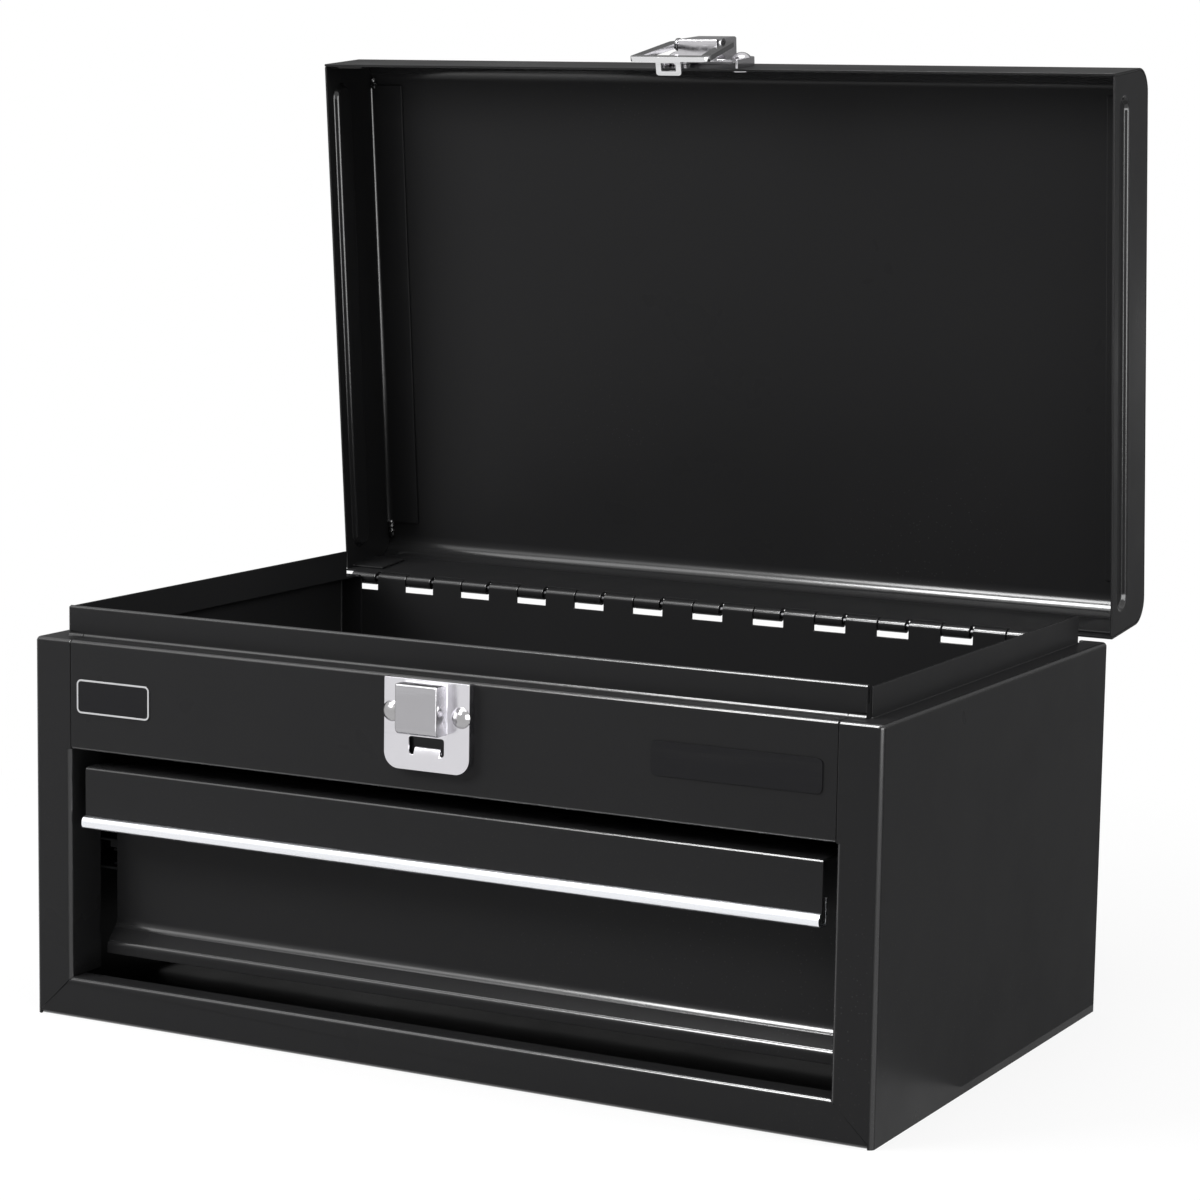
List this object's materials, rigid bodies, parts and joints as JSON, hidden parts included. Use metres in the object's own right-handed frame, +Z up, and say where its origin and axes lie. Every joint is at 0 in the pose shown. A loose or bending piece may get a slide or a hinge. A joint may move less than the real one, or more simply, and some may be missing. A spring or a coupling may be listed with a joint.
{
  "type": "mini tool box",
  "caption": "Folded sheet steel tool box with a hinged lid over an open top compartment, a sliding drawer with a finger pull below, and a front hasp latch.",
  "frame": {"origin": "centre of the underside", "axes": "+Z up, +X to the right seen from the front, front faces -Y"},
  "size_m": [0.35, 0.269, 0.3769],
  "materials": {
    "black_paint": "gloss",
    "chrome": "polished",
    "aluminium": "satin",
    "pin_steel": "satin",
    "plate_black": "satin",
    "plate_border": "satin"
  },
  "bodies": {
    "case": {"bottom_panel": "black_paint", "left_side_panel": "black_paint", "right_side_panel": "black_paint", "rear_panel": "black_paint", "front_panel": "black_paint", "tray_floor": "black_paint", "left_runner": "black_paint", "right_runner": "black_paint", "hinge_pin": "pin_steel", "left_lid_stop": "black_paint", "right_lid_stop": "black_paint", "latch_keeper": "chrome", "keeper_rivets": "chrome", "nameplate_left": "plate_black", "nameplate_left_border": "plate_border", "nameplate_right": "plate_black"},
    "lid": {"lid_shell": "black_paint", "lid_left_end": "black_paint", "lid_right_end": "black_paint", "latch_base": "chrome", "latch_rivets": "chrome", "latch_pin": "chrome"},
    "hasp": {"latch_hasp": "chrome"},
    "drawer": {"drawer_front": "black_paint", "drawer_trim": "aluminium", "drawer_pan": "black_paint", "left_drawer_rail": "black_paint", "right_drawer_rail": "black_paint", "rail_rivets": "pin_steel"}
  },
  "joints": [
    {"name": "lid_hinge", "type": "hinge", "parent": "case", "child": "lid", "pos_m": [0, 0.11065, 0.1449], "axis": [1, 0, 0], "range_deg": [0, 84.8]},
    {"name": "hasp_pivot", "type": "hinge", "parent": "lid", "child": "hasp", "pos_m": [0, 0.09549, 0.37322], "axis": [-1, 0, 0], "range_deg": [0, 120]},
    {"name": "drawer_slide", "type": "slide", "parent": "case", "child": "drawer", "axis": [0, -1, 0], "range_m": [0, 0.14]}
  ]
}
